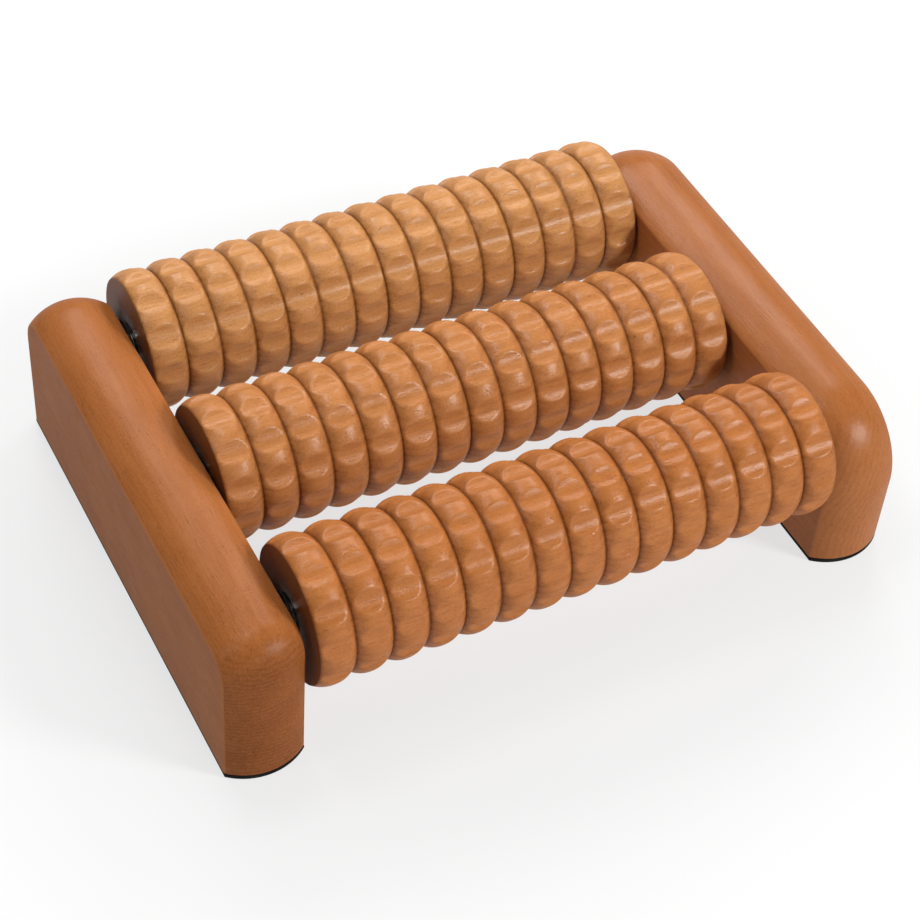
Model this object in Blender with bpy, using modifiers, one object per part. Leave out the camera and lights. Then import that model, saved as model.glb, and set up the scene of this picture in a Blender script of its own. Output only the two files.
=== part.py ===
"""Foot massage roller: three fluted wooden rollers that spin on steel rods between two wooden side rails.

X runs along the rollers, Y from the front to the back, Z up. The origin lies on the floor, in the middle.
"""

import math

import bmesh
import bpy

# Driving dimensions, in metres.
BEAD_COUNT = 15
BEAD_PITCH = 0.011
ROLLER_RADIUS = 0.0219
ROLLER_SPACING = 0.0584
AXLE_HEIGHT = 0.0384
END_GAP = 0.0018

GROOVE_DEPTH = 0.0022
BEAD_CROWN = 0.0066
SHOULDER_DROP = 0.0006
END_ROUND = 0.0016
FLUTE_COUNT = 12
FLUTE_DEPTH = 0.0012
FLUTE_RADIUS = 0.0075

# How far each roller is turned, in degrees, and how far it has slid along its rod from the middle.
ROLLER_PHASES = {"front": 15.0, "middle": 2.5, "rear": 19.0}
ROLLER_SHIFTS = {"front": 0.0009, "middle": -0.0005, "rear": 0.0009}

RAIL_THICKNESS = 0.0242
RAIL_LENGTH = 0.159
RAIL_TOP = 0.0522
RAIL_CORNER_RADIUS = 0.018
CROWN_DEPTH = 0.0045
CREASE_RADIUS = 0.0015
STRIP_THICKNESS = 0.0012
STRIP_INSET = 0.0003

ROD_RADIUS = 0.004
ROD_CHAMFER = 0.0005
ROD_HOLE_DEPTH = 0.016
ROD_END_PLAY = 0.0005
BUSH_RADIUS = 0.0065
BUSH_LENGTH = 0.012
WASHER_RADIUS = 0.008
WASHER_THICKNESS = 0.0004
CLEARANCE = 0.0003

# How finely round shapes are divided.
ROLLER_STEPS = 3 * FLUTE_COUNT
SMALL_STEPS = 24
CORNER_STEPS = 6
CROWN_STEPS = 6
CREASE_STEPS = 2

# Worked out from the dimensions above.
ROLLER_LENGTH = BEAD_COUNT * BEAD_PITCH
ROLLER_BORE_RADIUS = ROD_RADIUS + 0.001
BUSH_SEAT_RADIUS = BUSH_RADIUS + CLEARANCE
BUSH_SEAT_DEPTH = BUSH_LENGTH + CLEARANCE
ROD_HOLE_RADIUS = ROD_RADIUS + CLEARANCE
RAIL_INNER_X = ROLLER_LENGTH / 2 + END_GAP
RAIL_CENTRE_X = RAIL_INNER_X + RAIL_THICKNESS / 2
RAIL_BOTTOM = STRIP_THICKNESS + CLEARANCE
HALF_THICKNESS = RAIL_THICKNESS / 2
CROWN_RADIUS = (HALF_THICKNESS**2 + CROWN_DEPTH**2) / (2 * CROWN_DEPTH)
ROLLER_Y = {"front": -ROLLER_SPACING, "middle": 0.0, "rear": ROLLER_SPACING}

# Colour, roughness and metallic value of each material.
MATERIALS = {
    "rail_wood": ((0.33, 0.115, 0.037, 1.0), 0.38, 0.0),
    "roller_wood": ((0.48, 0.2, 0.068, 1.0), 0.35, 0.0),
    "grip_rubber": ((0.012, 0.012, 0.012, 1.0), 0.8, 0.0),
    "rod_steel": ((0.62, 0.62, 0.6, 1.0), 0.25, 1.0),
    "black_nylon": ((0.02, 0.018, 0.016, 1.0), 0.5, 0.0),
}


def clear_scene():
    for obj in list(bpy.data.objects):
        bpy.data.objects.remove(obj, do_unlink=True)


def new_collection(name):
    collection = bpy.data.collections.new(name)
    bpy.context.scene.collection.children.link(collection)
    return collection


def make_materials():
    made = {}
    for name, (colour, roughness, metallic) in MATERIALS.items():
        material = bpy.data.materials.new(name)
        material.use_nodes = True
        shader = material.node_tree.nodes["Principled BSDF"]
        shader.inputs["Base Color"].default_value = colour
        shader.inputs["Roughness"].default_value = roughness
        shader.inputs["Metallic"].default_value = metallic
        material.diffuse_color = colour
        made[name] = material
    return made


def add_object(name, data, collection, material=None, parent=None):
    obj = bpy.data.objects.new(name, data)
    collection.objects.link(obj)
    obj.parent = parent
    if material:
        data.materials.append(material)
    return obj


def mesh_of(bm, name):
    mesh = bpy.data.meshes.new(name)
    bm.to_mesh(mesh)
    bm.free()
    return mesh


def shade_round(mesh, sharp_degrees=35.0):
    mesh.shade_smooth()
    mesh.set_sharp_from_angle(angle=math.radians(sharp_degrees))


def turned_blank(name, profile, steps, closed, collection):
    """A profile of (radius, height) points, top to bottom down its outer side, turned about Z by a Screw."""
    bm = bmesh.new()
    points = [bm.verts.new((radius, 0.0, height)) for radius, height in profile]
    for upper, lower in zip(points, points[1:]):
        bm.edges.new((upper, lower))
    if closed:
        bm.edges.new((points[-1], points[0]))
    obj = add_object(name, mesh_of(bm, name), collection)
    screw = obj.modifiers.new("turn", "SCREW")
    screw.axis = "Z"
    screw.angle = 2 * math.pi
    screw.steps = steps
    screw.render_steps = steps
    screw.use_merge_vertices = True
    screw.merge_threshold = 0.00001
    return obj


def turned_mesh(name, profile, steps, closed, collection):
    """The turned shape as a plain mesh about Z; its blank is removed."""
    blank = turned_blank(name + "_blank", profile, steps, closed, collection)
    bpy.context.view_layer.update()
    graph = bpy.context.evaluated_depsgraph_get()
    mesh = bpy.data.meshes.new_from_object(blank.evaluated_get(graph))
    mesh.name = name
    profile_mesh = blank.data
    bpy.data.objects.remove(blank)
    bpy.data.meshes.remove(profile_mesh)
    return mesh


def ring_profile(inner, outer, length):
    half = length / 2
    return [(outer, half), (outer, -half), (inner, -half), (inner, half)]


def rod_profile(length):
    half = length / 2
    neck = ROD_RADIUS - ROD_CHAMFER
    return [
        (0.0, half),
        (neck, half),
        (ROD_RADIUS, half - ROD_CHAMFER),
        (ROD_RADIUS, ROD_CHAMFER - half),
        (neck, -half),
        (0.0, -half),
    ]


def roller_profile():
    """Crowned beads with narrow grooves between them, and a bore that widens into a bush seat at each end."""
    half = ROLLER_LENGTH / 2
    seat = half - BUSH_SEAT_DEPTH
    outline = [(BUSH_SEAT_RADIUS, half), (ROLLER_RADIUS - END_ROUND, half)]
    for bead in range(BEAD_COUNT):
        centre = half - (bead + 0.5) * BEAD_PITCH
        outline.append((ROLLER_RADIUS - SHOULDER_DROP, centre + BEAD_CROWN / 2))
        outline.append((ROLLER_RADIUS, centre))
        outline.append((ROLLER_RADIUS - SHOULDER_DROP, centre - BEAD_CROWN / 2))
        if bead < BEAD_COUNT - 1:
            outline.append((ROLLER_RADIUS - GROOVE_DEPTH, centre - BEAD_PITCH / 2))
    outline += [
        (ROLLER_RADIUS - END_ROUND, -half),
        (BUSH_SEAT_RADIUS, -half),
        (BUSH_SEAT_RADIUS, -seat),
        (ROLLER_BORE_RADIUS, -seat),
        (ROLLER_BORE_RADIUS, seat),
        (BUSH_SEAT_RADIUS, seat),
    ]
    return outline


def flute_floor(angle):
    """How far from the roller's axis the nearest flute lets the wood reach, at this angle about the axis."""
    pitch = 2 * math.pi / FLUTE_COUNT
    off_centre = (angle + pitch / 2) % pitch - pitch / 2
    cutter_distance = ROLLER_RADIUS - FLUTE_DEPTH + FLUTE_RADIUS
    chord = FLUTE_RADIUS**2 - (cutter_distance * math.sin(off_centre)) ** 2
    if chord <= 0:
        return ROLLER_RADIUS
    return cutter_distance * math.cos(off_centre) - math.sqrt(chord)


def roller_mesh(collection):
    """The turned roller, with its beads cut back to the flutes that run along it."""
    mesh = turned_mesh("roller", roller_profile(), ROLLER_STEPS, True, collection)
    for vertex in mesh.vertices:
        radius = math.hypot(vertex.co.x, vertex.co.y)
        floor = flute_floor(math.atan2(vertex.co.y, vertex.co.x))
        if radius > floor:
            vertex.co.x *= floor / radius
            vertex.co.y *= floor / radius
    return mesh


def crown_profile():
    """(across, inset) points over the rail's rounded face: how far it drops below its crest, from side to side."""
    edge_centre = HALF_THICKNESS - CREASE_RADIUS
    crease_inset = CROWN_RADIUS - math.sqrt((CROWN_RADIUS - CREASE_RADIUS) ** 2 - edge_centre**2)
    crease_angle = math.atan2(edge_centre, CROWN_RADIUS - crease_inset)
    right = []
    for step in range(CREASE_STEPS):
        angle = (math.pi / 2 - crease_angle) * step / CREASE_STEPS
        across = edge_centre + CREASE_RADIUS * math.cos(angle)
        right.append((across, crease_inset - CREASE_RADIUS * math.sin(angle)))
    for step in range(CROWN_STEPS):
        angle = crease_angle * (1 - step / CROWN_STEPS)
        right.append((CROWN_RADIUS * math.sin(angle), CROWN_RADIUS * (1 - math.cos(angle))))
    left = [(-across, inset) for across, inset in reversed(right)]
    return right + [(0.0, 0.0)] + left


def rail_outline(inset):
    """The rail seen from its side, drawn in by the inset everywhere but along its flat bottom: (y, z) points."""
    half = RAIL_LENGTH / 2 - inset
    top = RAIL_TOP - inset
    corner = RAIL_CORNER_RADIUS - inset
    rear = []
    for step in range(CORNER_STEPS + 1):
        angle = math.pi / 2 * step / CORNER_STEPS
        rear.append((half - corner + corner * math.cos(angle), top - corner + corner * math.sin(angle)))
    front = [(-y, z) for y, z in reversed(rear)]
    return [(half, RAIL_BOTTOM)] + rear + front + [(-half, RAIL_BOTTOM)]


def rail_mesh():
    """A block lofted through its side outline at each step across the crown, with two flat side faces."""
    bm = bmesh.new()
    rings = []
    for across, inset in crown_profile():
        rings.append([bm.verts.new((across, y, z)) for y, z in rail_outline(inset)])
    for near, far in zip(rings, rings[1:]):
        for i in range(len(near)):
            j = (i + 1) % len(near)
            bm.faces.new((near[i], near[j], far[j], far[i]))
    bm.faces.new(list(reversed(rings[0])))
    bm.faces.new(rings[-1])
    bmesh.ops.recalc_face_normals(bm, faces=bm.faces)
    mesh = mesh_of(bm, "rail")
    shade_round(mesh)
    return mesh


def end_line(steps):
    """One end of the rail's plan, from its outer to its inner side: (x, y) points along the crown's arc."""
    half = HALF_THICKNESS - STRIP_INSET
    reach = RAIL_LENGTH / 2 - STRIP_INSET - CROWN_RADIUS
    spread = math.asin(half / CROWN_RADIUS)
    line = []
    for step in range(steps + 1):
        angle = spread * (1 - 2 * step / steps)
        line.append((CROWN_RADIUS * math.sin(angle), reach + CROWN_RADIUS * math.cos(angle)))
    return line


def strip_curve(name):
    """The grip strip's flat outline, filled and extruded to its thickness about its own mid-plane."""
    rear = end_line(2 * CROWN_STEPS)
    front = [(-x, -y) for x, y in rear]
    outline = rear + front
    curve = bpy.data.curves.new(name, "CURVE")
    curve.dimensions = "2D"
    curve.fill_mode = "BOTH"
    curve.extrude = STRIP_THICKNESS / 2
    spline = curve.splines.new("POLY")
    spline.points.add(len(outline) - 1)
    for point, (x, y) in zip(spline.points, outline):
        point.co = (x, y, 0.0, 1.0)
    spline.use_cyclic_u = True
    return curve


def add_rod_hole_cutter(name, y, collection):
    """One cylinder between the bottoms of the blind holes in the two rails that hold a rod."""
    length = 2 * (RAIL_INNER_X + ROD_HOLE_DEPTH)
    bpy.ops.mesh.primitive_cylinder_add(
        vertices=SMALL_STEPS,
        radius=ROD_HOLE_RADIUS,
        depth=length,
        location=(0.0, y, AXLE_HEIGHT),
        rotation=(0.0, math.pi / 2, 0.0),
    )
    cutter = bpy.context.active_object
    cutter.name = name
    for owner in list(cutter.users_collection):
        owner.objects.unlink(cutter)
    collection.objects.link(cutter)
    cutter.hide_render = True
    cutter.display_type = "WIRE"
    return cutter


def add_side(side, sign, cutters, materials, collection):
    """A rail with its three blind rod holes, and the grip strip under it."""
    rail = add_object(f"{side}_rail", rail_mesh(), collection, materials["rail_wood"])
    rail.location.x = sign * RAIL_CENTRE_X
    for cutter in cutters:
        hole = rail.modifiers.new(cutter.name, "BOOLEAN")
        hole.operation = "DIFFERENCE"
        hole.solver = "EXACT"
        hole.object = cutter
    name = f"{side}_grip_strip"
    strip = add_object(name, strip_curve(name), collection, materials["grip_rubber"])
    strip.location = (sign * RAIL_CENTRE_X, 0.0, STRIP_THICKNESS / 2)


def lay_along_x(obj, x=0.0, spin_degrees=0.0):
    """Turns a shape made about Z so that it lies along X, spun about its own axis."""
    obj.rotation_mode = "ZYX"
    obj.rotation_euler = (0.0, math.pi / 2, math.radians(spin_degrees))
    obj.location.x = x


def add_turned(name, profile, steps, closed, material, parent, x, collection):
    mesh = turned_mesh(name, profile, steps, closed, collection)
    shade_round(mesh)
    obj = add_object(name, mesh, collection, material, parent)
    lay_along_x(obj, x)
    return obj


def add_roller_set(row, materials, collection):
    """A roller on its rod, with a bush in each end and a washer between each end and the rail."""
    shift = ROLLER_SHIFTS[row]
    axis = add_object(f"{row}_axis", None, collection)
    axis.location = (0.0, ROLLER_Y[row], AXLE_HEIGHT)
    mesh = roller_mesh(collection)
    shade_round(mesh)
    roller = add_object(f"{row}_roller", mesh, collection, materials["roller_wood"], axis)
    lay_along_x(roller, shift, ROLLER_PHASES[row])

    rod_length = 2 * (RAIL_INNER_X + ROD_HOLE_DEPTH - ROD_END_PLAY)
    steel = materials["rod_steel"]
    add_turned(f"{row}_axle", rod_profile(rod_length), SMALL_STEPS, False, steel, axis, 0.0, collection)

    running_radius = ROD_RADIUS + CLEARANCE
    bush_ring = ring_profile(running_radius, BUSH_RADIUS, BUSH_LENGTH)
    washer_ring = ring_profile(running_radius, WASHER_RADIUS, WASHER_THICKNESS)
    nylon = materials["black_nylon"]
    for side, sign in (("left", -1), ("right", 1)):
        bush_x = shift + sign * (ROLLER_LENGTH - BUSH_LENGTH) / 2
        washer_x = shift / 2 + sign * (ROLLER_LENGTH + END_GAP) / 2
        add_turned(f"{row}_{side}_bush", bush_ring, SMALL_STEPS, True, nylon, axis, bush_x, collection)
        add_turned(f"{row}_{side}_washer", washer_ring, SMALL_STEPS, True, nylon, axis, washer_x, collection)


def build():
    clear_scene()
    parts = new_collection("foot_massage_roller")
    cutter_parts = new_collection("cutters")
    materials = make_materials()
    cutters = [add_rod_hole_cutter(f"{row}_rod_holes", y, cutter_parts) for row, y in ROLLER_Y.items()]
    for side, sign in (("left", -1), ("right", 1)):
        add_side(side, sign, cutters, materials, parts)
    for row in ROLLER_Y:
        add_roller_set(row, materials, parts)


build()
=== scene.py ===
"""Looks of the foot massage roller: lacquered wood, fluted rollers, steel rods and rubber grip strips."""

import math

import bpy
import numpy as np
from mathutils import Matrix, Vector


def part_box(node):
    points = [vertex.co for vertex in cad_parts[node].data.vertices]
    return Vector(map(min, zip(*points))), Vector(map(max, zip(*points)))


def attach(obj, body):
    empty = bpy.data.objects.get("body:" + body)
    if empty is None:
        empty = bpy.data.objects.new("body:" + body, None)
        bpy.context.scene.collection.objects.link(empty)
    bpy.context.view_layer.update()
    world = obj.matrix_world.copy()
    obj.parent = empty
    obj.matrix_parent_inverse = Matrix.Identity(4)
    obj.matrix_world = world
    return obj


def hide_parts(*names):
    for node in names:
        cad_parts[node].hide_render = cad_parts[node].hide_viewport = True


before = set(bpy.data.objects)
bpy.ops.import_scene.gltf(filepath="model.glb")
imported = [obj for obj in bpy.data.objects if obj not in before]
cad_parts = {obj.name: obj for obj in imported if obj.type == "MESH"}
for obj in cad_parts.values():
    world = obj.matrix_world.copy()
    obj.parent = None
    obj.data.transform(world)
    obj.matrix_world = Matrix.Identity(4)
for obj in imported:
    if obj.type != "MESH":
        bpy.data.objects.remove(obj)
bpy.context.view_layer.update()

# ---------------------------------------------------------------- design values, in metres

ROWS = ("front", "middle", "rear")
SIDES = (("left", -1), ("right", 1))

# Rollers: crowned beads, narrow grooves, and round-bottomed flutes that run along the axis. Phases and angles
# are in degrees. DEEP_FLUTE is a row, one of its flutes and the extra depth of that flute.
BEAD_COUNT = 15
FLUTE_COUNT = 12
FLUTE_PHASE = {"front": 15.8, "middle": 2.5, "rear": 19.0}
CROWN_DROP = 0.00215
CROWN_POWER = 2.3
END_SHARE = 0.75
FLUTE_DEPTH = {"front": 0.00133, "middle": 0.00138, "rear": 0.00142}
DEEP_FLUTE = ("rear", 1, 0.00035)
FLUTE_RADIUS = 0.0058
RIM_SOFTNESS = 0.00005
ROW_VARIATION = 0.00007
DEPTH_VARIATION = 0.00007
CREST_VARIATION = 0.00004
ANGLE_VARIATION = 0.55
BEAD_STEPS = 20
FLUTE_STEPS = 26
FULL_CUT = 0.0003
# The bead flanks darken towards the grooves, and the end faces and bore darken too: partly pooled stain,
# partly painted shade in these recesses.
STAIN_AND_SHADE_START = 0.82
BORE_STAIN_AND_SHADE = 0.25
END_FACE_START = 0.55
SEAT_CHAMFER = 0.0004
SEAT_EXTRA_DEPTH = 0.0003
SEAT_CLEARANCE = 0.0001
BORE_CLEARANCE = 0.001

# Rails: a block with a crowned face that runs up the front, over the top and down the back.
RAIL_CORNERS = {"left": {"front": 0.0115, "rear": 0.0158}, "right": {"front": 0.026, "rear": 0.0239}}
RAIL_CROWN = 0.0045
RAIL_CREASE = 0.0014
RAIL_FOOT_BEVEL = 0.0004
ROD_HOLE_CLEARANCE = 0.0002
ROD_HOLE_EXTRA_DEPTH = 0.0005
HOLE_CUTTER_HALF = 0.02
CORNER_STEPS = 30
CROWN_STEPS = 24
CREASE_STEPS = 8

# Grip strips: the profile is (share of the edge's rounding, share of half the height), from top to bottom.
STRIP_INSET = 0.00005
STRIP_EDGE = 0.0003
STRIP_PROFILE = ((1, 1), (0.3, 0.85), (0, 0.5), (0, -0.5), (0.3, -0.85), (1, -1))
STRIP_STEPS = 20

# Small turned pieces.
TURNED_STEPS = 96
ROD_CHAMFER = 0.0005
RING_CHAMFER = 0.0002
RING_CLEARANCE = 0.0002

# Stained wood, as linear colours. The rollers grow paler and yellower from the front to the rear: partly the
# woods' own difference, partly painted light, for the sheen and stronger light towards the rear.
ROLLER_COLOUR_AND_LIGHT = {"front": (0.4, 0.14, 0.0385), "middle": (0.425, 0.168, 0.053), "rear": (0.45, 0.204, 0.07)}
RAIL_COLOUR = (0.31, 0.103, 0.028)
DARK_TONE = (0.4, 0.3, 0.2)
LIGHT_TONE = (1.36, 1.68, 2.3)

# The settings of wood(), which says what each one means.
ROLLER_WOOD = {
    "along": 0,
    "pith": (9.0, 34.0),
    "ring_gap": 2.6,
    "ring_contrast": (0.05, 0.3),
    # Partly painted shade: the end grain term darkens the groove flanks and end faces.
    "end_grain_and_shading": 0.3,
    "roughness": 0.42,
    "shine": 0.02,
    "coat": 0.1,
}
RAIL_WOODS = {
    "left": {
        "along": 1,
        "pith": (6.0, 190.0),
        "ring_gap": 1.5,
        "ring_contrast": (0.04, 0.12),
        # Partly painted shade: the left rail's end faces are drawn darker.
        "end_grain_and_shading": 0.2,
        "roughness": 0.42,
        "shine": 0.01,
        "coat": 0.05,
    },
    "right": {
        "along": 1,
        "pith": (-45.0, 20.0),
        "ring_gap": 2.0,
        "ring_contrast": (0.04, 0.16),
        # Painted light: below 0, this draws the right rail's end faces lighter than its sides.
        "end_grain_and_shading": -0.15,
        "roughness": 0.42,
        "shine": 0.02,
        "coat": 0.08,
    },
}

# How much each pattern moves the wood's tone, which runs from 0, dark, to 1, light.
FIBRE_TONE = 0.46
STREAK_TONE = 0.2
BLOTCH_TONE = 0.25
SPECKLE_TONE = 0.5
PORE_TONE = 0.2
# How much lighter the rails' soft creases are drawn.
PALE_CREASE_TONE = 0.22
# Painted shade, partly pooled stain: how much darker the grooves and end faces are drawn.
STAIN_AND_SHADE_TONE = -0.42

# View and light. Each light has a name, a place, the width of its soft box and its power in watts.
CAMERA_AZIMUTH = -30.58
CAMERA_ELEVATION = 46.4
CAMERA_ROLL = 4.84
CAMERA_DISTANCE = 0.7076
CAMERA_TARGET = Vector((-0.00008, -0.00435, 0.01268))
CAMERA_LENS = 90.35
CAMERA_SENSOR = 36.0
FLOOR_HALF = 3.0
FLOOR_GREYS = ((0.3, 0.16), (0.7, 0.18))
FLOOR_GLOW = ((0.12, 0.7), (0.36, 0.95))
HORIZON = {"From Min": 0.16, "From Max": 0.34, "To Min": 0.62, "To Max": 0.07}
LIGHTS = (
    ("key", (0.62, -0.7, 0.72), 0.3, 10.9),
    ("front", (0.0, -1.06, 0.56), 0.4, 1.2),
    ("rear", (0.0, 0.45, 0.45), 0.25, 1.9),
    ("right rear", (0.35, 0.35, 0.45), 0.25, 1.7),
    ("top", (-0.1, 0.1, 0.52), 0.16, 0.9),
    ("left", (-0.5, -0.06, 0.62), 0.16, 0.7),
)


# ---------------------------------------------------------------- meshes


def mesh_object(name, points, faces):
    mesh = bpy.data.meshes.new(name)
    mesh.from_pydata([tuple(p) for p in points], [], faces)
    mesh.validate()
    obj = bpy.data.objects.new(name, mesh)
    bpy.context.scene.collection.objects.link(obj)
    return obj


def ring_faces(rings, per_ring, closed):
    """Quads between rings of points that close on themselves; closed joins the last ring to the first."""
    faces = []
    last = rings if closed else rings - 1
    for i in range(last):
        here = i * per_ring
        there = (i + 1) % rings * per_ring
        for j in range(per_ring):
            k = (j + 1) % per_ring
            faces.append((here + j, there + j, there + k, here + k))
    return faces


def shade(obj, sharp_degrees):
    obj.data.shade_smooth()
    obj.data.set_sharp_from_angle(angle=math.radians(sharp_degrees))


def paint(obj, name, values):
    """Stores one number for each point, for the materials to read."""
    attribute = obj.data.attributes.new(name, "FLOAT", "POINT")
    attribute.data.foreach_set("value", np.asarray(values, np.float32).ravel())


def end_faces(rings, per_ring):
    """The flat faces that close the first and the last ring."""
    last = (rings - 1) * per_ring
    return [tuple(range(per_ring)), tuple(reversed(range(last, last + per_ring)))]


def ring_about_x(along, radius, turns):
    """Points at the given turns, counted from +Z towards -Y, round an axis parallel to X."""
    return np.stack([along + 0 * turns, -radius * np.sin(turns), radius * np.cos(turns)], axis=1)


def turned(name, profile, place, hollow):
    """A (radius, along) profile turned about an axis parallel to X. Hollow profiles close on themselves."""
    turns = np.linspace(0, 2 * math.pi, TURNED_STEPS, endpoint=False)
    points = np.concatenate([ring_about_x(along, radius, turns) for radius, along in profile])
    faces = ring_faces(len(profile), TURNED_STEPS, hollow)
    if not hollow:
        faces += end_faces(len(profile), TURNED_STEPS)
    obj = mesh_object(name, points, faces)
    obj.location = place
    shade(obj, 40)
    return obj


# ---------------------------------------------------------------- node helper


class Nodes:
    """Adds shader nodes to a material and joins them with few words."""

    def __init__(self, name):
        self.material = bpy.data.materials.new(name)
        self.material.use_nodes = True
        self.tree = self.material.node_tree
        self.shader = self.tree.nodes["Principled BSDF"]

    def put(self, socket, value):
        if isinstance(value, bpy.types.NodeSocket):
            self.tree.links.new(value, socket)
        elif value is not None:
            socket.default_value = value

    def add(self, kind, inputs=(), **settings):
        node = self.tree.nodes.new(kind)
        for key, value in settings.items():
            setattr(node, key, value)
        for key, value in dict(inputs).items():
            self.put(node.inputs[key], value)
        return node

    def math(self, operation, a, b=None, c=None, clamp=False):
        node = self.add("ShaderNodeMath", {0: a, 1: b, 2: c}, operation=operation, use_clamp=clamp)
        return node.outputs[0]

    def noise(self, vector, scale, detail=2.0, roughness=0.5):
        inputs = {"Vector": vector, "Scale": scale, "Detail": detail, "Roughness": roughness}
        return self.add("ShaderNodeTexNoise", inputs).outputs["Fac"]

    def ramp(self, factor, stops, interpolation="LINEAR"):
        """Colours between the stops; a stop that is a single number is a grey."""
        node = self.add("ShaderNodeValToRGB", {"Fac": factor})
        node.color_ramp.interpolation = interpolation
        elements = node.color_ramp.elements
        while len(elements) < len(stops):
            elements.new(0.5)
        for element, (place, colour) in zip(elements, stops):
            element.position = place
            element.color = colour if isinstance(colour, tuple) else (colour, colour, colour, 1.0)
        return node.outputs["Color"]

    def attribute(self, name):
        return self.add("ShaderNodeAttribute", attribute_name=name).outputs["Fac"]

    def bump(self, height, distance, strength=1.0, normal=None):
        inputs = {"Height": height, "Distance": distance, "Strength": strength, "Normal": normal}
        return self.add("ShaderNodeBump", inputs).outputs["Normal"]

    def surface(self, **values):
        """Sets sockets of the shader, with spaces for the underscores in their names."""
        for key, value in values.items():
            self.put(self.shader.inputs[key.replace("_", " ")], value)
        return self.material


# ---------------------------------------------------------------- materials


def wood(name, tones, along, pith, ring_gap, ring_contrast, end_grain_and_shading, roughness, shine, coat):
    """Lacquered wood: growth rings about the pith, fibres and pores along the grain, darker stain in places.
    Near the rollers' grooves and on their end faces that darkening is partly pooled stain and partly painted
    shade.

    tones are the dark, middle and light colours. along is the local axis of the grain, 0 for X and 1 for Y.
    pith is where the rings' centre line lies across the grain, and ring_gap is how far apart the rings are,
    both in millimetres. ring_contrast is how much the rings darken side grain and end grain.
    end_grain_and_shading is how much darker all of the end grain is; this is partly painted shade on the
    rollers' groove flanks and end faces, and where it is below 0 it is painted light that draws the end faces
    lighter. shine is the bare wood's specular level, and coat is the weight of the lacquer.
    """
    n = Nodes(name)
    place = n.add("ShaderNodeTexCoord")
    in_mm = n.add("ShaderNodeMapping", {"Vector": place.outputs["Object"], "Scale": (1000, 1000, 1000)})
    parts = n.add("ShaderNodeSeparateXYZ", {"Vector": in_mm.outputs[0]})
    run = parts.outputs[along]
    side = parts.outputs[1 - along]
    height = parts.outputs[2]
    seed = n.add("ShaderNodeObjectInfo").outputs["Random"]
    run = n.math("MULTIPLY_ADD", seed, 300.0, run)

    def stretched(squeeze, swell):
        inputs = {0: n.math("MULTIPLY", run, squeeze), 1: n.math("MULTIPLY", side, swell)}
        inputs[2] = n.math("MULTIPLY", height, swell)
        return n.add("ShaderNodeCombineXYZ", inputs).outputs[0]

    # Growth rings: the distance to the pith, bent a little by slow noise.
    off_side = n.math("ADD", side, pith[0])
    off_height = n.math("ADD", height, pith[1])
    side_square = n.math("MULTIPLY", off_side, off_side)
    height_square = n.math("MULTIPLY", off_height, off_height)
    squares = n.math("ADD", side_square, height_square)
    wander = n.noise(stretched(0.012, 0.05), 1.0, detail=3.0)
    wobble = n.noise(in_mm.outputs[0], 0.17, detail=2.0)
    bend = n.math("MULTIPLY_ADD", wander, 3.0, n.math("MULTIPLY", wobble, 1.1))
    rings = n.math("MULTIPLY_ADD", n.math("SQRT", squares), 1 / ring_gap, bend)
    ring = n.ramp(n.math("FRACT", rings), ((0.0, 0.35), (0.45, 0.15), (0.86, 1.0), (1.0, 0.35)), "EASE")

    # Fibres, slow blotches where the stain took unevenly, and open pores.
    fibres = n.noise(stretched(0.11, 1.5), 1.0, detail=6.0, roughness=0.78)
    streaks = n.noise(stretched(0.03, 0.55), 1.0, detail=3.0)
    blotches = n.noise(stretched(0.05, 0.08), 1.0, detail=2.0)
    pore_noise = n.noise(stretched(0.42, 2.6), 1.0, detail=2.0, roughness=0.6)
    pores = n.ramp(pore_noise, ((0.0, 1.0), (0.3, 1.0), (0.36, 0.0), (1.0, 0.0)))
    speckle = n.noise(in_mm.outputs[0], 1.7, detail=4.0, roughness=0.7)

    # How far the surface faces along the grain: end grain drinks more stain and shows its rings more.
    # Its darkening is partly painted shade on the rollers' groove flanks and end faces; where the setting is
    # negative, as on the right rail, it is painted light that draws the end faces lighter.
    facing = n.add("ShaderNodeSeparateXYZ", {"Vector": place.outputs["Normal"]}).outputs[along]
    end = n.math("MULTIPLY", n.math("ABSOLUTE", facing), n.math("ABSOLUTE", facing))
    ring_weight = n.math("MULTIPLY_ADD", end, ring_contrast[1] - ring_contrast[0], ring_contrast[0])

    tone = 0.5
    patterns = [(fibres, FIBRE_TONE), (streaks, STREAK_TONE)]
    patterns += [(blotches, BLOTCH_TONE), (speckle, SPECKLE_TONE)]
    for pattern, weight in patterns:
        tone = n.math("MULTIPLY_ADD", n.math("SUBTRACT", pattern, 0.5), weight, tone)
    tone = n.math("SUBTRACT", tone, n.math("MULTIPLY", ring, ring_weight))
    # End grain drawn darker, partly painted shade; a negative setting paints light on the end faces.
    tone = n.math("SUBTRACT", tone, n.math("MULTIPLY", end, end_grain_and_shading))
    tone = n.math("SUBTRACT", tone, n.math("MULTIPLY", pores, PORE_TONE))
    # The rails' soft creases are drawn lighter.
    tone = n.math("MULTIPLY_ADD", n.attribute("pale_crease"), PALE_CREASE_TONE, tone)
    # Painted shade, partly pooled stain: darker towards the grooves and on the end faces.
    tone = n.math("MULTIPLY_ADD", n.attribute("stain_and_shade"), STAIN_AND_SHADE_TONE, tone, clamp=True)
    dark, middle, light = tones
    colour = n.ramp(tone, ((0.0, dark), (0.5, middle), (1.0, light)))

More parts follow.
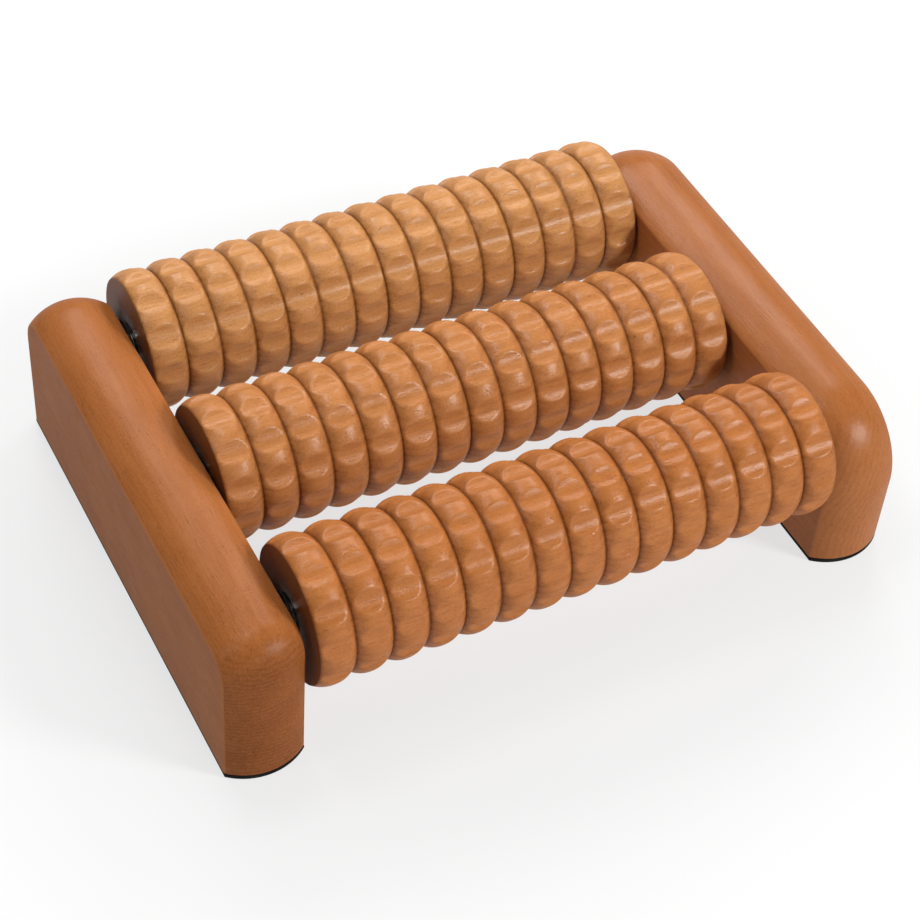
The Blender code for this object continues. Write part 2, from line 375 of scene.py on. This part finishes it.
    # Lacquer: satin, a little uneven, with the fibres and the cutter's ripples showing through.
    haze = n.noise(in_mm.outputs[0], 0.12, detail=3.0)
    dull = n.math("MULTIPLY_ADD", haze, 0.14, roughness - 0.07)
    grainy = n.math("MULTIPLY_ADD", pores, -0.5, fibres)
    relief = n.bump(grainy, 0.00015, 0.75)
    ripples = n.noise(stretched(0.3, 1.5), 1.0, detail=2.0)
    rippled = n.math("MULTIPLY", ripples, n.attribute("flute"))
    relief = n.bump(rippled, 0.00012, 1.0, relief)
    waves = n.noise(in_mm.outputs[0], 0.22, detail=2.0)
    relief = n.bump(waves, 0.0002, 0.3, relief)

    return n.surface(
        Base_Color=colour,
        Roughness=dull,
        Normal=relief,
        Specular_IOR_Level=shine,
        Coat_Weight=coat,
        Coat_Roughness=0.2,
        Coat_IOR=2.2,
        Coat_Normal=n.bump(n.math("ADD", grainy, speckle), 0.0001, 0.6),
    )


def rubber():
    """Matt black rubber, finely pitted, a little dusty."""
    n = Nodes("grip_rubber")
    place = n.add("ShaderNodeTexCoord").outputs["Object"]
    dust = n.noise(place, 90.0, detail=4.0)
    pits = n.noise(place, 2600.0, detail=2.0)
    return n.surface(
        Base_Color=n.ramp(dust, ((0.35, 0.006), (0.8, (0.022, 0.021, 0.02, 1.0)))),
        Roughness=n.math("MULTIPLY_ADD", dust, 0.25, 0.62),
        Specular_IOR_Level=0.05,
        Normal=n.bump(pits, 0.0001, 0.6),
    )


def steel(name, scratch_scale, roughness):
    """Bright steel with fine scratches round the axis and slight tarnish."""
    n = Nodes(name)
    place = n.add("ShaderNodeTexCoord").outputs["Object"]
    lines = n.add("ShaderNodeMapping", {"Vector": place, "Scale": scratch_scale}).outputs[0]
    scratches = n.noise(lines, 1.0, detail=4.0)
    tarnish = n.noise(place, 160.0, detail=3.0)
    return n.surface(
        Base_Color=n.ramp(tarnish, ((0.3, (0.44, 0.43, 0.41, 1.0)), (0.7, (0.7, 0.7, 0.69, 1.0)))),
        Metallic=1.0,
        Roughness=n.math("MULTIPLY_ADD", scratches, 0.2, roughness),
        Normal=n.bump(scratches, 0.00003, 0.4),
    )


def nylon(name, roughness):
    """Black nylon, slightly waxy, with fine turning marks. On the washers and bushes its black is partly
    painted shade for the narrow gaps beside the roller ends.
    """
    n = Nodes(name)
    place = n.add("ShaderNodeTexCoord").outputs["Object"]
    cloud = n.noise(place, 260.0, detail=3.0)
    return n.surface(
        Base_Color=n.ramp(cloud, ((0.3, (0.011, 0.01, 0.009, 1.0)), (0.7, (0.028, 0.025, 0.022, 1.0)))),
        Roughness=n.math("MULTIPLY_ADD", cloud, 0.16, roughness),
        Specular_IOR_Level=0.12,
        Normal=n.bump(cloud, 0.00008, 0.3),
    )


# ---------------------------------------------------------------- rollers


def bead_drop(share, outer):
    """How far a bead's surface lies below its crest; share is -1 to 1 across the bead."""
    return (END_SHARE if outer else 1.0) * CROWN_DROP * abs(share) ** CROWN_POWER


def soft_minimum(a, b, softness):
    blend = np.clip(0.5 + 0.5 * (b - a) / softness, 0, 1)
    return b + (a - b) * blend - softness * blend * (1 - blend)


def flute_floor(angle, depth, radius):
    """The radius that the nearest flute leaves, for the angle from that flute's middle."""
    centre = radius - depth + FLUTE_RADIUS
    inside = FLUTE_RADIUS**2 - (centre * np.sin(angle)) ** 2
    floor = centre * np.cos(angle) - np.sqrt(np.maximum(inside, 0))
    return np.where(inside > 0, floor, radius * 2)


def roller(row, rng):
    """The turned and fluted roller, with a bush seat in each end and a bore between them."""
    node = f"{row}_roller"
    low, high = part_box(node)
    middle = (low + high) / 2
    length = high.x - low.x
    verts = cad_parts[node].data.vertices
    radius = max(math.hypot(v.co.y - middle.y, v.co.z - middle.z) for v in verts)
    pitch = length / BEAD_COUNT

    turn_count = FLUTE_COUNT * FLUTE_STEPS
    turns = np.arange(turn_count) * 2 * math.pi / turn_count
    flute_of = (np.arange(turn_count) + FLUTE_STEPS // 2) // FLUTE_STEPS % FLUTE_COUNT
    flute_pitch = 2 * math.pi / FLUTE_COUNT
    off_flute = (turns + flute_pitch / 2) % flute_pitch - flute_pitch / 2
    turns = turns + math.radians(FLUTE_PHASE[row])

    row_depth = FLUTE_DEPTH[row] + rng.normal(0, ROW_VARIATION, FLUTE_COUNT)
    if row == DEEP_FLUTE[0]:
        row_depth[DEEP_FLUTE[1]] += DEEP_FLUTE[2]

    rings, stain_and_shade, flutes = [], [], []
    for bead in range(BEAD_COUNT):
        depth = row_depth + rng.normal(0, DEPTH_VARIATION, FLUTE_COUNT)
        shift = np.radians(rng.normal(0, ANGLE_VARIATION, FLUTE_COUNT))
        crest = radius - abs(rng.normal(0, CREST_VARIATION))
        floor = flute_floor(off_flute - shift[flute_of], depth[flute_of], radius)
        first = 0 if bead == 0 else 1
        for step in range(first, BEAD_STEPS + 1):
            share = math.sin(math.pi / 2 * (2 * step / BEAD_STEPS - 1))
            outer = (bead == 0 and share < 0) or (bead == BEAD_COUNT - 1 and share > 0)
            along = (bead + 0.5 + share / 2) * pitch - length / 2
            drop = bead_drop(share, outer)
            turned_radius = crest - drop + 0 * turns
            reach = soft_minimum(turned_radius, floor, RIM_SOFTNESS)
            rings.append(ring_about_x(along, reach, turns))
            flutes.append(np.clip((turned_radius - reach) / FULL_CUT, 0, 1))
            # Painted shade, partly pooled stain, growing towards the grooves between beads.
            stain_and_shade.append(max(0.0, (abs(share) - STAIN_AND_SHADE_START) / (1 - STAIN_AND_SHADE_START)) ** 2 + 0 * turns)

    bush_low, bush_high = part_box(f"{row}_left_bush")
    rod_low, rod_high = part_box(f"{row}_axle")
    seat_radius = (bush_high.y - bush_low.y) / 2 + SEAT_CLEARANCE
    bore_radius = (rod_high.y - rod_low.y) / 2 + BORE_CLEARANCE
    half = length / 2
    seat_end = half - (bush_high.x - low.x + SEAT_EXTRA_DEPTH)
    inner = [
        (half, END_FACE_START * radius),
        (half, seat_radius + SEAT_CHAMFER),
        (half - SEAT_CHAMFER, seat_radius),
        (seat_end, seat_radius),
        (seat_end, bore_radius),
    ]
    for along, reach in inner + [(-along, reach) for along, reach in reversed(inner)]:
        rings.append(ring_about_x(along, reach, turns))
        # Painted shade, partly stain, on the end faces and in the bore.
        stain_and_shade.append(BORE_STAIN_AND_SHADE + 0 * turns)
        flutes.append(0 * turns)

    faces = [face[::-1] for face in ring_faces(len(rings), turn_count, True)]
    obj = mesh_object(f"{row}_roller_turned", np.concatenate(rings), faces)
    paint(obj, "stain_and_shade", np.concatenate(stain_and_shade))
    paint(obj, "flute", np.concatenate(flutes))
    shade(obj, 50)
    obj.location = middle
    return obj


# ---------------------------------------------------------------- rails and grip strips


def crown_radius(half_thickness):
    return (half_thickness**2 + RAIL_CROWN**2) / (2 * RAIL_CROWN)


def crown_line(half_thickness):
    """(across, inset, crease share) from one flat side over the crown to the other; the crease share is 1 on
    the soft creases, which are drawn lighter.
    """
    arc = crown_radius(half_thickness)
    edge = half_thickness - RAIL_CREASE
    inset_centre = arc - math.sqrt((arc - RAIL_CREASE) ** 2 - edge**2)
    spread = math.atan2(edge, arc - inset_centre)
    right = []
    for step in range(CREASE_STEPS):
        angle = (math.pi / 2 - spread) * step / CREASE_STEPS
        pale_crease = math.sin(math.pi * step / CREASE_STEPS)
        across = edge + RAIL_CREASE * math.cos(angle)
        right.append((across, inset_centre - RAIL_CREASE * math.sin(angle), pale_crease))
    for step in range(CROWN_STEPS):
        angle = spread * (1 - step / CROWN_STEPS)
        right.append((arc * math.sin(angle), arc * (1 - math.cos(angle)), 0.0))
    left = [(-across, inset, pale_crease) for across, inset, pale_crease in reversed(right)]
    return right + [(0.0, 0.0, 0.0)] + left


def rail_end(half_length, bottom, top, inset, radius):
    """One end of the rail's outline as (y, z) points, from its slightly broken foot edge to its top."""
    half = half_length - inset
    corner = radius - inset
    line = [(half - RAIL_FOOT_BEVEL, bottom), (half, bottom + RAIL_FOOT_BEVEL)]
    for step in range(CORNER_STEPS + 1):
        angle = math.pi / 2 * step / CORNER_STEPS
        height = top - inset - corner + corner * math.sin(angle)
        line.append((half - corner + corner * math.cos(angle), height))
    return line


def rail_outline(side, half_length, bottom, top, inset):
    """The rail seen from its side, drawn in by the inset."""
    rear = rail_end(half_length, bottom, top, inset, RAIL_CORNERS[side]["rear"])
    front = rail_end(half_length, bottom, top, inset, RAIL_CORNERS[side]["front"])
    return rear + [(-y, z) for y, z in reversed(front)]


def bore_rod_holes(obj, sign):
    """Cuts the blind holes that hold the three rods."""
    for row in ROWS:
        low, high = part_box(f"{row}_axle")
        middle = (low + high) / 2
        radius = (high.z - low.z) / 2 + ROD_HOLE_CLEARANCE
        end = (high.x if sign > 0 else low.x) + sign * ROD_HOLE_EXTRA_DEPTH
        place = (end - sign * HOLE_CUTTER_HALF, middle.y, middle.z)
        profile = [(radius, HOLE_CUTTER_HALF), (radius, -HOLE_CUTTER_HALF)]
        cutter = turned("rod_hole_cutter", profile, place, False)
        hole = obj.modifiers.new("hole", "BOOLEAN")
        hole.operation = "DIFFERENCE"
        hole.solver = "EXACT"
        hole.object = cutter
        bpy.context.view_layer.update()
        graph = bpy.context.evaluated_depsgraph_get()
        cut = bpy.data.meshes.new_from_object(obj.evaluated_get(graph))
        obj.modifiers.clear()
        obj.data = cut
        bpy.data.objects.remove(cutter)


def rail(side, sign):
    """The side block, crowned over its top and ends, with blind holes for the rods."""
    low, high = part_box(f"{side}_rail")
    middle = (low + high) / 2
    half_length = (high.y - low.y) / 2
    line = crown_line((high.x - low.x) / 2)
    points, pale_crease = [], []
    for across, inset, paling in line:
        outline = rail_outline(side, half_length, low.z - middle.z, high.z - middle.z, inset)
        points += [(across, y, z) for y, z in outline]
        pale_crease += [paling] * len(outline)
    count = len(points) // len(line)
    faces = ring_faces(len(line), count, False) + end_faces(len(line), count)
    obj = mesh_object(f"{side}_rail_shaped", points, faces)
    paint(obj, "pale_crease", pale_crease)
    obj.location = middle
    bore_rod_holes(obj, sign)
    shade(obj, 30)
    weighted = obj.modifiers.new("weighted normals", "WEIGHTED_NORMAL")
    weighted.keep_sharp = True
    return obj


def strip(side):
    """The rubber strip: the rail's plan, glued up to its underside, with its edges slightly rounded."""
    low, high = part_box(f"{side}_grip_strip")
    rail_low, rail_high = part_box(f"{side}_rail")
    half_rail = (rail_high - rail_low) / 2
    half_height = (rail_low.z - low.z) / 2
    middle = (low + high) / 2
    middle.z = low.z + half_height
    arc = crown_radius(half_rail.x)
    rings = []
    for edge_share, height_share in STRIP_PROFILE:
        inset = STRIP_INSET + edge_share * STRIP_EDGE
        spread = math.asin((half_rail.x - inset) / arc)
        z = height_share * half_height
        rear = []
        for step in range(2 * STRIP_STEPS + 1):
            angle = spread * (1 - step / STRIP_STEPS)
            rear.append((arc * math.sin(angle), half_rail.y - inset - arc * (1 - math.cos(angle)), z))
        rings.append(rear + [(-x, -y, height) for x, y, height in rear])
    points = [p for ring in rings for p in ring]
    count = len(rings[0])
    faces = ring_faces(len(rings), count, False) + end_faces(len(rings), count)
    obj = mesh_object(f"{side}_grip_strip_cut", points, faces)
    obj.location = middle
    shade(obj, 50)
    return obj


# ---------------------------------------------------------------- rods, bushes and washers


def chamfered_ring(inner, outer, length):
    """The closed profile of a bush or washer, with all four edges broken."""
    half = length / 2
    c = RING_CHAMFER
    return [
        (outer, half - c),
        (outer, c - half),
        (outer - c, -half),
        (inner + c, -half),
        (inner, c - half),
        (inner, half - c),
        (inner + c, half),
        (outer - c, half),
    ]


def rod_profile(radius, length):
    """The open profile of a rod, with both ends chamfered."""
    half = length / 2
    return [
        (radius - ROD_CHAMFER, half),
        (radius, half - ROD_CHAMFER),
        (radius, ROD_CHAMFER - half),
        (radius - ROD_CHAMFER, -half),
    ]


def small_piece(node, suffix, inner=None):
    """The turned piece that stands for a rod, bush or washer of the frame."""
    low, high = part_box(node)
    middle = (low + high) / 2
    outer = (high.z - low.z) / 2
    length = high.x - low.x
    profile = chamfered_ring(inner, outer, length) if inner else rod_profile(outer, length)
    return turned(f"{node}_{suffix}", profile, middle, inner is not None)


# ---------------------------------------------------------------- the object


def dress(obj, node, body, material):
    """Gives a piece its material, hangs it on the body it rides on, and hides the CAD node that it replaces.
    """
    obj.data.materials.clear()
    obj.data.materials.append(material)
    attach(obj, body)
    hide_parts(node)


def tones_about(colour):
    """The dark, middle and light tones of a stained wood, from its middle colour."""
    shares = (DARK_TONE, (1, 1, 1), LIGHT_TONE)
    return [(*(c * share for c, share in zip(colour, tone)), 1.0) for tone in shares]


def build_object():
    rng = np.random.default_rng(7)
    roller_woods, rail_woods = {}, {}
    for row in ROWS:
        # Each row's colour holds painted light that grows towards the rear, besides the wood's own colour.
        roller_woods[row] = wood(f"{row}_roller_wood", tones_about(ROLLER_COLOUR_AND_LIGHT[row]), **ROLLER_WOOD)
    for side, _ in SIDES:
        rail_woods[side] = wood(f"{side}_rail_wood", tones_about(RAIL_COLOUR), **RAIL_WOODS[side])
    strip_rubber = rubber()
    rod_steel = steel("rod_steel", (40, 900, 900), 0.2)
    # Partly painted shade: the washers and bushes are black so that the gaps between rails and rollers read
    # dark.
    washer_nylon = nylon("washer_nylon", 0.5)
    bush_nylon = nylon("bush_nylon", 0.42)
    for side, sign in SIDES:
        dress(rail(side, sign), f"{side}_rail", "frame", rail_woods[side])
        dress(strip(side), f"{side}_grip_strip", "frame", strip_rubber)
    for row in ROWS:
        body = f"{row}_roller_body"
        dress(roller(row, rng), f"{row}_roller", body, roller_woods[row])
        rod_node = f"{row}_axle"
        dress(small_piece(rod_node, "rod"), rod_node, "frame", rod_steel)
        rod_low, rod_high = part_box(rod_node)
        inner = (rod_high.z - rod_low.z) / 2 + RING_CLEARANCE
        for side, _ in SIDES:
            bush = f"{row}_{side}_bush"
            washer = f"{row}_{side}_washer"
            dress(small_piece(bush, "sleeve", inner), bush, body, bush_nylon)
            dress(small_piece(washer, "disc", inner), washer, "frame", washer_nylon)


# ---------------------------------------------------------------- floor, light and camera


def floor():
    """A plain matt floor with a faint glow of its own, which is brighter away from the object."""
    half = FLOOR_HALF
    points = [(-half, -half, 0), (half, -half, 0), (half, half, 0), (-half, half, 0)]
    plane = mesh_object("floor", points, [(0, 1, 2, 3)])
    n = Nodes("floor_white")
    place = n.add("ShaderNodeTexCoord").outputs["Object"]
    cloud = n.noise(place, 3.0, detail=2.0)
    away = n.add("ShaderNodeVectorMath", {0: place}, operation="LENGTH").outputs["Value"]
    n.surface(
        Base_Color=n.ramp(cloud, FLOOR_GREYS),
        Roughness=0.9,
        Specular_IOR_Level=0.0,
        Emission_Color=(1.0, 1.0, 1.0, 1.0),
        Emission_Strength=n.ramp(away, FLOOR_GLOW),
    )
    plane.data.materials.append(n.material)


def soft_light(name, place, size, watts):
    """A round soft box that faces the object."""
    light = bpy.data.lights.new(name, "AREA")
    light.shape = "DISK"
    light.size = size
    light.energy = watts
    obj = bpy.data.objects.new(name, light)
    obj.location = Vector(place)
    obj.rotation_mode = "QUATERNION"
    obj.rotation_quaternion = Vector(place).to_track_quat("Z", "Y")
    bpy.context.scene.collection.objects.link(obj)


def studio():
    """A pale band round the horizon, like a studio wall, under a dim ceiling, and the lights."""
    world = bpy.data.worlds.new("studio")
    world.use_nodes = True
    tree = world.node_tree
    sky = tree.nodes["Background"]
    sky.inputs["Color"].default_value = (1.0, 1.0, 1.0, 1.0)
    direction = tree.nodes.new("ShaderNodeTexCoord").outputs["Generated"]
    parts = tree.nodes.new("ShaderNodeSeparateXYZ")
    wall = tree.nodes.new("ShaderNodeMapRange")
    for key, value in HORIZON.items():
        wall.inputs[key].default_value = value
    tree.links.new(direction, parts.inputs[0])
    tree.links.new(parts.outputs["Z"], wall.inputs["Value"])
    tree.links.new(wall.outputs["Result"], sky.inputs["Strength"])
    bpy.context.scene.world = world
    for light in LIGHTS:
        soft_light(*light)


def camera():
    """The camera at the photograph's angle, turned a little about its own axis."""
    azimuth = math.radians(CAMERA_AZIMUTH)
    elevation = math.radians(CAMERA_ELEVATION)
    roll = math.radians(CAMERA_ROLL)
    flat = math.cos(elevation)
    back = Vector((math.sin(azimuth) * flat, -math.cos(azimuth) * flat, math.sin(elevation)))
    level = Vector((0, 0, 1)).cross(back).normalized()
    upright = back.cross(level)
    right = level * math.cos(roll) + upright * math.sin(roll)
    up = back.cross(right)
    turn = Matrix((right, up, back)).transposed()
    data = bpy.data.cameras.new("camera")
    data.lens = CAMERA_LENS
    data.sensor_width = CAMERA_SENSOR
    data.clip_start = 0.01
    obj = bpy.data.objects.new("camera", data)
    obj.matrix_world = Matrix.Translation(CAMERA_TARGET + back * CAMERA_DISTANCE) @ turn.to_4x4()
    bpy.context.scene.collection.objects.link(obj)
    bpy.context.scene.camera = obj


build_object()
floor()
studio()
camera()
bpy.context.scene.view_settings.view_transform = "Standard"
